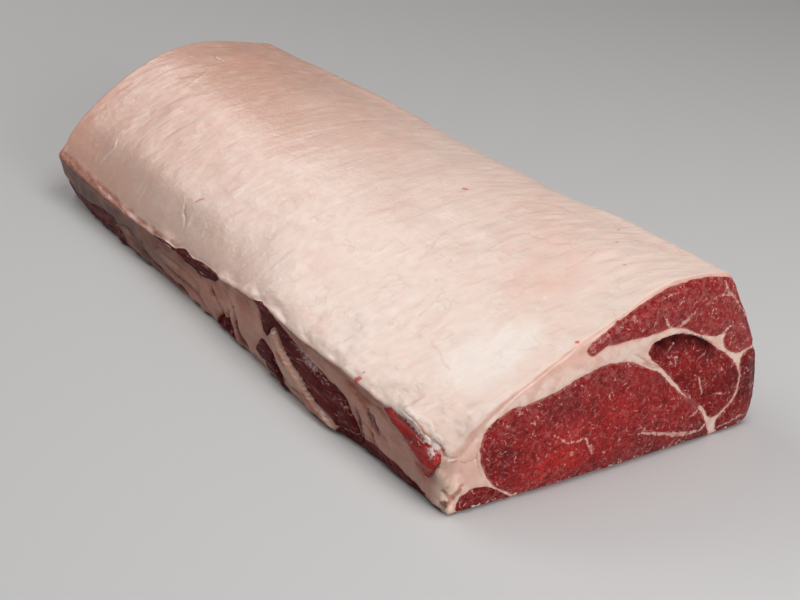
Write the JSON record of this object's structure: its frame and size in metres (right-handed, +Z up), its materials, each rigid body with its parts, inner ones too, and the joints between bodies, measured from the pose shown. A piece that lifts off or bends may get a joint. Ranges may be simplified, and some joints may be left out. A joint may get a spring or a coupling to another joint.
{
  "type": "raw beef striploin",
  "caption": "Raw boneless beef striploin, a long cut of lean under a pale fat cover, with a clean cut face at each end and lean showing along both sides.",
  "frame": {"origin": "middle of the flat underside", "axes": "+X along the grain towards the near cut face, -Y towards the thin tail side, +Z up through the fat cover"},
  "size_m": [0.4778, 0.1838, 0.0882],
  "materials": {
    "fat": "moist cream-pink beef fat, softly wrinkled",
    "lean": "wet deep red cut beef with fine marbling",
    "dark_lean": "wet dark red beef with a thin silver skin in places"
  },
  "bodies": {
    "root": {"fat_cover": "fat", "eye_muscle": "lean", "cap_muscle": "lean", "round_muscle": "dark_lean", "chine_strap": "lean", "tail_lean": "dark_lean", "flank_strap_near": "dark_lean", "flank_strap_mid": "dark_lean", "flank_strap_far": "dark_lean", "flank_patch_low": "dark_lean", "flank_patch_small": "dark_lean"}
  },
  "joints": []
}
